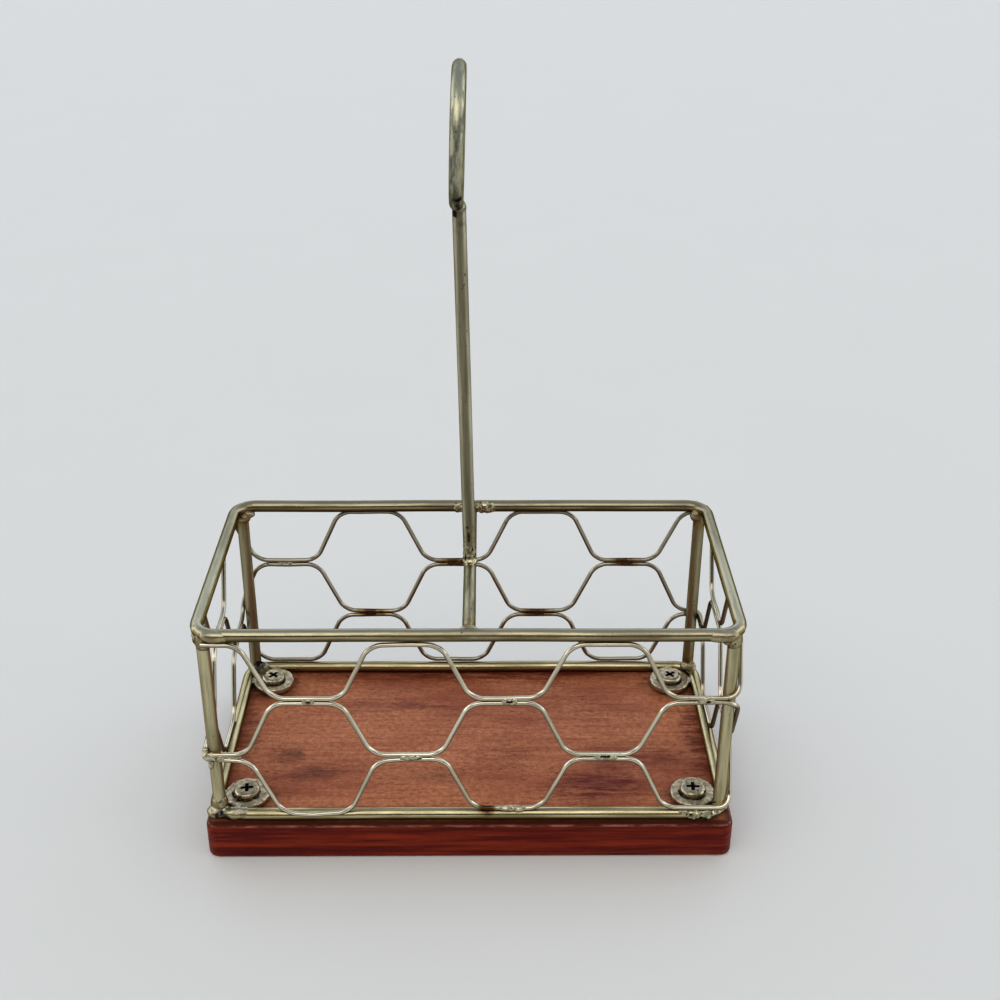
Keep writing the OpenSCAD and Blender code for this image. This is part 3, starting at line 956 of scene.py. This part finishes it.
# %% Steel
# Real grit on steel is a few hundredths of a millimetre, too fine to show here, and so are the drawing
# lines. Both are drawn as coarse as they need to be seen, the grit at a third of a millimetre and more.
dark_edge = "#857c69"
# The upper sides turn grey from dust and from a painted sheen of the grey sky above.
grey_film = "#b0b3a6"
# A painted dark reflection of dark things in front, laid down the front of the rod.
dull_front = "#564c2a"
patch_dulls = 0.14
# Below, the wire is darkened by grime and by painted shade; the same mask also roughens it.
grime_dulls = 0.3
grit_deep = 0.06 * MM


def tarnished_steel(name, bright, dull, speck, shine, grit_mm, grit, **wear):
    """A metal with the wear, painted shade and painted sheen that are named, and with heat colours; shine is
    its least roughness.
    """
    material, tree, output = new_material(name)
    where = add(tree, "ShaderNodeTexCoord").outputs
    place = where["Object"]
    masks = steel_wear(tree, place, where["Normal"], **{**plain_wear, **wear})
    masks.update(steel_heat(tree, place))
    # The front layer is a painted reflection and the rear layer painted shade; the grime layer is partly
    # painted shade, and the layer on the upper sides is partly a painted sheen.
    layers = [("patch", dull), ("film", grey_film), ("front", dull_front), ("rear", speck),
              ("speck", speck), ("grime", speck)]
    layers += [(kind, values[1]) for kind, values in burn_colours.items()]
    colour = linear(bright)
    for kind, code in layers:
        colour = add(tree, "ShaderNodeMix", {0: masks[kind], 6: colour, 7: linear(code)},
                     data_type="RGBA").outputs[2]
    rough = add(tree, "ShaderNodeMapRange", {
        "Value": masks["patch"], "To Min": shine, "To Max": shine + patch_dulls}).outputs["Result"]
    edge = linear(dark_edge)
    for kind in ("grime", "soot"):
        rough = add(tree, "ShaderNodeMath", {0: masks[kind], 1: grime_dulls, 2: rough},
                    operation="MULTIPLY_ADD").outputs["Value"]
        edge = add(tree, "ShaderNodeMix", {0: masks[kind], 6: edge, 7: linear(speck)},
                   data_type="RGBA").outputs[2]
    fine = add(tree, "ShaderNodeTexNoise", {"Vector": place, "Scale": per_mm(grit_mm), "Detail": 3.0})
    bump = add(tree, "ShaderNodeBump", {
        "Height": fine.outputs["Fac"], "Strength": grit, "Distance": grit_deep})
    shader = add(tree, "ShaderNodeBsdfPrincipled", {
        "Base Color": colour, "Metallic": 1.0, "Roughness": rough, "Specular Tint": edge,
        "Normal": bump.outputs["Normal"]})
    tree.links.new(shader.outputs["BSDF"], output.inputs["Surface"])
    return material


# %% Grades of wire
# The thick wire is smooth and shines sharply. The bottom loop has a warmer copy of the colour, a painted
# reflection of the board below it. The bar and the rod are duller from hands, the rod has a painted dark
# reflection down its front, and the ring is the greyest of all. The posts have a soft shine, and the thin
# wire is the palest and the brightest.
frame_steel = tarnished_steel("drawn_steel_wire", "#ac9f7a", "#7b6e4e", "#463c28", 0.14, 0.7, 0.35,
                              patch_mm=18, grimy=0.8, drawn=1.0, film=0.5, aged=0.25)
# A warmer copy of the frame steel for the bottom loop: a painted reflection of the board below it.
low_steel = tarnished_steel("resting_steel_wire", "#c4b78c", "#94865e", "#463c28", 0.14, 0.7, 0.35,
                            patch_mm=18, grimy=0.8, drawn=1.0, film=0.1, aged=0.1)
handle_steel = tarnished_steel("dulled_steel_wire", "#a8a28a", "#7a7560", "#302c1f", 0.26, 0.6, 0.4,
                               patch_mm=18, pitted=0.66, drawn=1.0)
rod_steel = tarnished_steel("lifted_steel_wire", "#d0cbb2", "#9f9a82", "#302c1f", 0.22, 0.6, 0.4,
                            patch_mm=24, pitted=0.67, drawn=1.0, fronted=0.75)
loop_steel = tarnished_steel("greyed_steel_wire", "#bab799", "#66685c", "#2c2b26", 0.31, 0.6, 0.4,
                             patch_mm=9, pitted=0.66, grimy=0.2, drawn=0.8, film=0.7)
mesh_steel = tarnished_steel("thin_steel_wire", "#ebe2c9", "#c0b69c", "#43372a", 0.12, 0.5, 0.25,
                             patch_mm=20, grimy=0.75, drawn=0.8, aged=0.55)
post_steel = tarnished_steel("handled_steel_wire", "#d0c8a1", "#a39a76", "#463c28", 0.28, 0.7, 0.35,
                             patch_mm=24, drawn=1.0, aged=0.5)

# %% Grades of plate and weld metal
# The washers' zinc has gone dull and dented, and the screws kept more of it. Weld metal has small patches
# and dark pits. Where it was ground it is nearly as smooth as the wire, and where it was left it sparkles.
zinc_plate = tarnished_steel("dull_zinc_plate", "#cfc2a4", "#968a70", "#2c241a", 0.3, 0.3, 0.8,
                             patch_mm=1.5, pitted=0.64)
screw_steel = tarnished_steel("plated_screw_steel", "#c3b79b", "#857b65", "#2c241a", 0.22, 0.3, 0.4,
                              patch_mm=1.3, pitted=0.64)
weld_metal = tarnished_steel("weld_metal", "#c6bea3", "#8d846b", "#221c16", 0.34, 0.4, 0.5,
                             patch_mm=1.8, pitted=0.64)
ground_weld = tarnished_steel("ground_weld_steel", "#b0a480", "#82765a", "#4a402c", 0.22, 0.5, 0.4,
                              patch_mm=5, pitted=0.66, drawn=1.0, film=0.5)
rough_weld = tarnished_steel("rough_weld_metal", "#cfc6a2", "#726a4c", "#1e190f", 0.26, 0.35, 0.9,
                             patch_mm=0.8, pitted=0.55)
spot_metal = tarnished_steel("pinched_steel", "#d2c9ad", "#a1977b", "#332a1e", 0.24, 0.4, 0.5,
                             patch_mm=0.9, pitted=0.66)

# %% Heat beside the welds
heat_core = 1.4


def mark_heat(piece):
    """Keeps on each point how much it is scorched and how much it is sooted or painted dark as shade, by the
    nearest marks.
    """
    points = numpy.zeros(3 * len(piece.data.vertices))
    piece.data.vertices.foreach_get("co", points)
    points = points.reshape(-1, 3)
    for layer_name, marks in heat_marks.items():
        amount = numpy.zeros(len(points))
        layer = piece.data.attributes.get(layer_name)
        if layer:
            layer.data.foreach_get("value", amount)
        else:
            layer = piece.data.attributes.new(layer_name, "FLOAT", "POINT")
        for place, ring_r, reach, share in marks:
            away = points - numpy.array(place)
            away = numpy.hypot(numpy.hypot(away[:, 0], away[:, 1]) - ring_r, away[:, 2])
            amount = numpy.maximum(amount, share * numpy.clip(heat_core * (1 - away / reach), 0, 1))
        layer.data.foreach_set("value", amount)


# %% [markdown]
# ### Stained mahogany
# A close-grained board under a thin red-brown stain and a satin varnish. The grain runs along the board:
# soft blotches where the stain took unevenly, fine streaks, and short dark pores in drifts. Stain has
# gathered in a few places, a painted shadow of the loop darkens the rim and the wood just inside the back
# of the loop, and soot from the welding with a painted contact shadow lies round the washers. The sides
# took more stain and are painted darker as shade, so they are a deep dark red, rubbed paler along the upper
# edge.

# %% Where stain, soot and painted shadow lie
# Each mark is its middle along and across the board, its half length and half width in mm, and its share.
# The long stain mark just inside the back of the loop is a painted shadow of the loop, and the soot round
# each washer is also a painted contact shadow.
stain_marks = [(34, -20, 19, 8, 0.95), (44, -8, 19, 10, 0.7), (38, 9, 18, 9, 0.35), (9, -6, 14, 5, 0.6),
               (-25, 15.5, 15, 4.5, 0.5), (0, 31.5, 70, 7, 0.9), (-62, 4, 5, 26, 0.6), (63, 0, 7, 30, 0.9)]
soot_marks = [(-49, -7.5, 6, 4.5, 0.6), (-42, -14.5, 9, 4.5, 0.6), (-9, -16, 10, 5, 0.35)]
for corner in corner_signs:
    low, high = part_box("washer_" + corner)
    soot_marks.append(((low.x + high.x) / 2 / MM, (low.y + high.y) / 2 / MM, 9, 9, 1))
print("marks on the board", len(stain_marks) + len(soot_marks))

# %% Patterns in the wood
# Each pattern has how far it is drawn out along the grain, its size across the grain in mm, its detail and
# roughness, the noise values between which it rises, and its share at the most. Real pores are about
# 0.15 mm wide and are drawn at 0.36 mm, so that they show.
wood_patterns = {
    "fleck": (1.3, 1.1, 5.0, 0.8, 0.36, 0.64, 1.0),
    "blotch": (3, 14, 5.0, 0.6, 0.4, 0.72, 0.8),
    "streak": (25, 0.8, 3.0, 0.7, 0.4, 0.75, 0.55),
    "stain": (3.5, 9, 6.0, 0.75, 0.56, 0.74, 0.7),
    "uneven": (9, 1.3, 4.0, 0.75, 0.3, 0.62, 1.0),
    "drift": (3, 12, 3.0, 0.6, 0.4, 0.62, 1.0),
    "pores": (7, 0.36, 2.0, 0.5, 0.58, 0.7, 0.8),
    "flank": (20, 1.6, 4.0, 0.7, 0.35, 0.7, 1.0),
    "rubbed": (6, 1.2, 4.0, 0.7, 0.4, 0.62, 0.6),
}


def lay_patterns(tree, place):
    """How strong each pattern is at a point."""
    masks = {}
    for pattern, (along, size, detail, rough, start, end, share) in wood_patterns.items():
        grain = add(tree, "ShaderNodeMapping", {"Vector": place, "Scale": (1 / along, 1.0, 1.0)})
        cloud = add(tree, "ShaderNodeTexNoise", {
            "Vector": grain.outputs["Vector"], "Scale": per_mm(size), "Detail": detail, "Roughness": rough})
        masks[pattern] = add(tree, "ShaderNodeMapRange", {
            "Value": cloud.outputs["Fac"], "From Min": start, "From Max": end, "To Max": share},
            interpolation_type="SMOOTHSTEP").outputs["Result"]
    return masks


# %% Gathering stain and soot
ragged_mm = 5
ragged_swing = (16 * MM, 7 * MM, 0.0)


def gather(tree, place, marks):
    """How much has gathered at a point, by the nearest of some marks with ragged outlines."""
    ragged = add(tree, "ShaderNodeTexNoise", {
        "Vector": place, "Scale": per_mm(ragged_mm), "Detail": 4.0, "Roughness": 0.7}).outputs["Color"]
    ragged = add(tree, "ShaderNodeVectorMath", {0: ragged, 1: (0.5, 0.5, 0.5)},
                 operation="SUBTRACT").outputs["Vector"]
    ragged = add(tree, "ShaderNodeVectorMath", {0: ragged, 1: ragged_swing, 2: place},
                 operation="MULTIPLY_ADD").outputs["Vector"]
    most = 0.0
    for x, y, half_length, half_width, share in marks:
        near = add(tree, "ShaderNodeMapping", {
            "Vector": ragged, "Scale": (per_mm(half_length), per_mm(half_width), 0.0),
            "Location": (-x / half_length, -y / half_width, 0.0)}).outputs["Vector"]
        near = add(tree, "ShaderNodeVectorMath", {0: near}, operation="LENGTH").outputs["Value"]
        near = add(tree, "ShaderNodeMapRange", {
            "Value": near, "From Min": 1.0, "From Max": 0.3, "To Max": share},
            interpolation_type="SMOOTHSTEP").outputs["Result"]
        most = add(tree, "ShaderNodeMath", {0: most, 1: near}, operation="MAXIMUM").outputs["Value"]
    return most


# %% Painted shadow along the rim
# The painted shadow of the loop along the rim starts and ends at these shares of the board's half length and
# half depth.
rim_bands = {"X": (0.95, 0.99), "Y": (0.9, 0.955)}
rim_share = 0.92


def by_rim(tree, place):
    """How near a point is to the board's rim, on the side or the end that is nearer."""
    spread = add(tree, "ShaderNodeVectorMath", {0: place, 1: (1 / board_high.x, 1 / board_high.y, 0.0)},
                 operation="MULTIPLY").outputs["Vector"]
    spread = add(tree, "ShaderNodeVectorMath", {0: spread}, operation="ABSOLUTE").outputs["Vector"]
    spread = add(tree, "ShaderNodeSeparateXYZ", {"Vector": spread}).outputs
    most = 0.0
    for axis, (start, end) in rim_bands.items():
        near = add(tree, "ShaderNodeMapRange", {
            "Value": spread[axis], "From Min": start, "From Max": end, "To Max": rim_share},
            interpolation_type="SMOOTHSTEP").outputs["Result"]
        most = add(tree, "ShaderNodeMath", {0: most, 1: near}, operation="MAXIMUM").outputs["Value"]
    return most


# %% Strength of every layer
# The bands lie below the board's top, from one depth to another in mm. A pattern is then weakened by another.
edge_bands = {"side": (0.12, 0.6), "below_top": (0.02, 0.14), "above_side": (0.5, 0.24)}
weakened = (("pores", "drift"), ("soaked", "uneven"), ("soot", "uneven"), ("rubbed", "below_top"),
            ("rubbed", "above_side"))


def wood_masks(tree, place):
    """How strong each layer of the wood's colour is at a point."""
    masks = lay_patterns(tree, place)
    # The gathered stain includes a painted shadow along the back of the loop, and the soot a painted contact
    # shadow round the washers.
    masks["soaked"] = gather(tree, place, stain_marks)
    masks["soot"] = gather(tree, place, soot_marks)
    masks["rim"] = by_rim(tree, place)
    height = add(tree, "ShaderNodeSeparateXYZ", {"Vector": place}).outputs["Z"]
    down = add(tree, "ShaderNodeMath", {0: board_high.z, 1: height}, operation="SUBTRACT").outputs["Value"]
    for band, (start, end) in edge_bands.items():
        masks[band] = add(tree, "ShaderNodeMapRange", {
            "Value": down, "From Min": start * MM, "From Max": end * MM},
            interpolation_type="SMOOTHSTEP").outputs["Result"]
    for pattern, other in weakened:
        masks[pattern] = add(tree, "ShaderNodeMath", {0: masks[pattern], 1: masks[other]},
                             operation="MULTIPLY").outputs["Value"]
    return masks


# %% Wood
wood_ground = "#c17e56"
# The tint along the rim is a painted shadow of the loop.
wood_tints = {"fleck": "#9c5638", "blotch": "#85422a", "streak": "#793820", "stain": "#602017",
              "soaked": "#55130d", "soot": "#2a130e", "pores": "#42140c", "rim": "#3a0b05"}
# The sides took more stain and are also painted darker as shade.
flank_dark = "#4d0904"
flank_light = "#83280f"
rubbed_edge = "#a87260"
grain_deep = 0.05 * MM


def stained_wood(name):
    """Red-brown stained wood with its grain along X."""
    material, tree, output = new_material(name)
    masks = wood_masks(tree, add(tree, "ShaderNodeTexCoord").outputs["Object"])
    flank = add(tree, "ShaderNodeMix", {0: masks["flank"], 6: linear(flank_dark), 7: linear(flank_light)},
                data_type="RGBA").outputs[2]
    layers = [(pattern, linear(code)) for pattern, code in wood_tints.items()]
    layers += [("side", flank), ("rubbed", linear(rubbed_edge))]
    colour = linear(wood_ground)
    for pattern, over in layers:
        colour = add(tree, "ShaderNodeMix", {0: masks[pattern], 6: colour, 7: over},
                     data_type="RGBA").outputs[2]
    rough = add(tree, "ShaderNodeMapRange", {"Value": masks["streak"], "To Min": 0.5, "To Max": 0.65})
    grain = add(tree, "ShaderNodeMath", {0: masks["streak"], 1: masks["pores"]}, operation="ADD")
    bump = add(tree, "ShaderNodeBump", {
        "Height": grain.outputs["Value"], "Strength": 0.3, "Distance": grain_deep}, invert=True)
    shader = add(tree, "ShaderNodeBsdfPrincipled", {
        "Base Color": colour, "Roughness": rough.outputs["Result"], "IOR": 1.45, "Specular IOR Level": 0.13,
        "Normal": bump.outputs["Normal"]})
    tree.links.new(shader.outputs["BSDF"], output.inputs["Surface"])
    return material


mahogany = stained_wood("stained_mahogany")

# %% Dress every piece
# A piece takes the finish of its slot, unless it has one of its own.
slot_finishes = {"stained_wood": mahogany, "frame_wire": frame_steel, "mesh_wire": mesh_steel,
                 "fastener": zinc_plate, "weld": weld_metal}
own_finishes = {"cross_bar_wire": handle_steel, "weld_rod_head_bead": handle_steel,
                "handle_rod_wire": rod_steel, "handle_ring_wire": loop_steel,
                "bottom_ring_wire": low_steel, "mesh_spot_welds": spot_metal}
for corner in corner_signs:
    own_finishes["post_%s_wire" % corner] = post_steel
    own_finishes["screw_%s_head" % corner] = screw_steel
for weld in ("top_front_left", "top_front_right", "low_front_left"):
    own_finishes["weld_%s_bead" % weld] = ground_weld
for weld in ("low_front_right", "bar_back", "rod_foot"):
    own_finishes["weld_%s_bead" % weld] = rough_weld
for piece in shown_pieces():
    if "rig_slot" in piece:
        dress(piece, own_finishes.get(piece.name, slot_finishes[piece["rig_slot"]]))
        mark_heat(piece)
print("pieces with a finish of their own", len(own_finishes))

# %% [markdown]
# ## Floor, light and camera
# The object stands on a plain pale floor under a soft lamp above the camera. The surrounding light is
# bright at the back and at both sides, softer overhead, and falls off towards the camera's side, which
# draws a dark line along each polished wire. A window high on that side draws the bright line above it.
# Near the horizon the sky has the floor's tone, so that no band shows in low views.

# %% Floor
floor_tones = ("#dddeda", "#e0e0dd")
mottle_mm = 60

start_fresh()
bpy.ops.mesh.primitive_plane_add(size=200, location=(0, 0, 0))
floor = name_piece("floor")
paper, tree, output = new_material("pale_floor")
place = add(tree, "ShaderNodeTexCoord").outputs["Object"]
mottle = add(tree, "ShaderNodeTexNoise", {"Vector": place, "Scale": per_mm(mottle_mm), "Detail": 3.0})
tone = add(tree, "ShaderNodeMix", {
    0: mottle.outputs["Fac"], 6: linear(floor_tones[0]), 7: linear(floor_tones[1])}, data_type="RGBA")
shader = add(tree, "ShaderNodeBsdfPrincipled", {"Base Color": tone.outputs[2], "Roughness": 0.7})
tree.links.new(shader.outputs["BSDF"], output.inputs["Surface"])
dress(floor, paper)

# %% World
# Each band of the sky runs along one axis, from one value of the direction to another.
camera_side = "#1c1a17"
sky_tints = {"behind": "#dbe5f5", "overhead": "#84868a", "sideways": "#f6fbff", "horizon": "#9ea0a1",
             "window": "#fff8f1"}
sky_bands = {"behind": ("Y", -0.4, 0.5), "overhead": ("Z", 0.3, 0.8), "sideways": ("X", 0.72, 0.95),
             "horizon": ("Z", 0.14, 0.02), "window": ("Z", 0.46, 0.56), "window_top": ("Z", 0.93, 0.86),
             "window_side": ("Y", -0.15, -0.3)}
sky_strength = 2.0
window_strength = 1.1

world = bpy.data.worlds.new("studio")
bpy.context.scene.world = world
world.use_nodes = True
tree = world.node_tree
tree.nodes.clear()
direction = add(tree, "ShaderNodeTexCoord").outputs["Generated"]
parts = add(tree, "ShaderNodeSeparateXYZ", {"Vector": direction}).outputs
aside = add(tree, "ShaderNodeMath", {0: parts["X"]}, operation="ABSOLUTE").outputs["Value"]
axes = {"X": aside, "Y": parts["Y"], "Z": parts["Z"]}
bands = {}
for band, (axis, start, end) in sky_bands.items():
    bands[band] = add(tree, "ShaderNodeMapRange", {"Value": axes[axis], "From Min": start, "From Max": end},
                      interpolation_type="SMOOTHSTEP").outputs["Result"]
for limit in ("window_top", "window_side"):
    bands["window"] = add(tree, "ShaderNodeMath", {0: bands["window"], 1: bands[limit]},
                          operation="MULTIPLY").outputs["Value"]
sky = linear(camera_side)
for band, code in sky_tints.items():
    sky = add(tree, "ShaderNodeMix", {0: bands[band], 6: sky, 7: linear(code)}, data_type="RGBA").outputs[2]
strength = add(tree, "ShaderNodeMapRange", {
    "Value": bands["window"], "To Min": sky_strength, "To Max": window_strength}).outputs["Result"]
background = add(tree, "ShaderNodeBackground", {"Color": sky, "Strength": strength})
add(tree, "ShaderNodeOutputWorld", {"Surface": background.outputs["Background"]})
print("sky of", len(sky_tints) + 1, "tints")

# %% Lamp
lamp_from = Vector((-0.25, -0.6, 0.9))
lamp = bpy.data.objects.new("soft_key", bpy.data.lights.new("soft_key", "SUN"))
bpy.context.scene.collection.objects.link(lamp)
lamp.data.energy = 0.45
lamp.data.angle = math.radians(50)
lamp.rotation_euler = lamp_from.to_track_quat("Z", "Y").to_euler()
print("lamp of strength %.2f" % lamp.data.energy)

# %% Camera
# The place, the angles and the lens were fitted to the corners of the two rings, the posts and the rod.
camera_place = Vector((4.08, -308.2, 244.0)) * MM
camera_pitch = math.radians(27.48)
camera_yaw = math.radians(0.65)
camera_roll = math.radians(0.265)
camera = bpy.data.objects.new("camera", bpy.data.cameras.new("camera"))
bpy.context.scene.collection.objects.link(camera)
camera.data.sensor_width = 36
camera.data.lens = 50.17
camera.data.clip_start = 0.01
camera.matrix_world = (Matrix.Translation(camera_place) @ Matrix.Rotation(-camera_yaw, 4, "Z")
                       @ Matrix.Rotation(math.pi / 2 - camera_pitch, 4, "X")
                       @ Matrix.Rotation(camera_roll, 4, "Z"))
bpy.context.scene.camera = camera
bpy.context.scene.view_settings.view_transform = "Standard"
print("camera at", [round(v, 3) for v in camera_place])
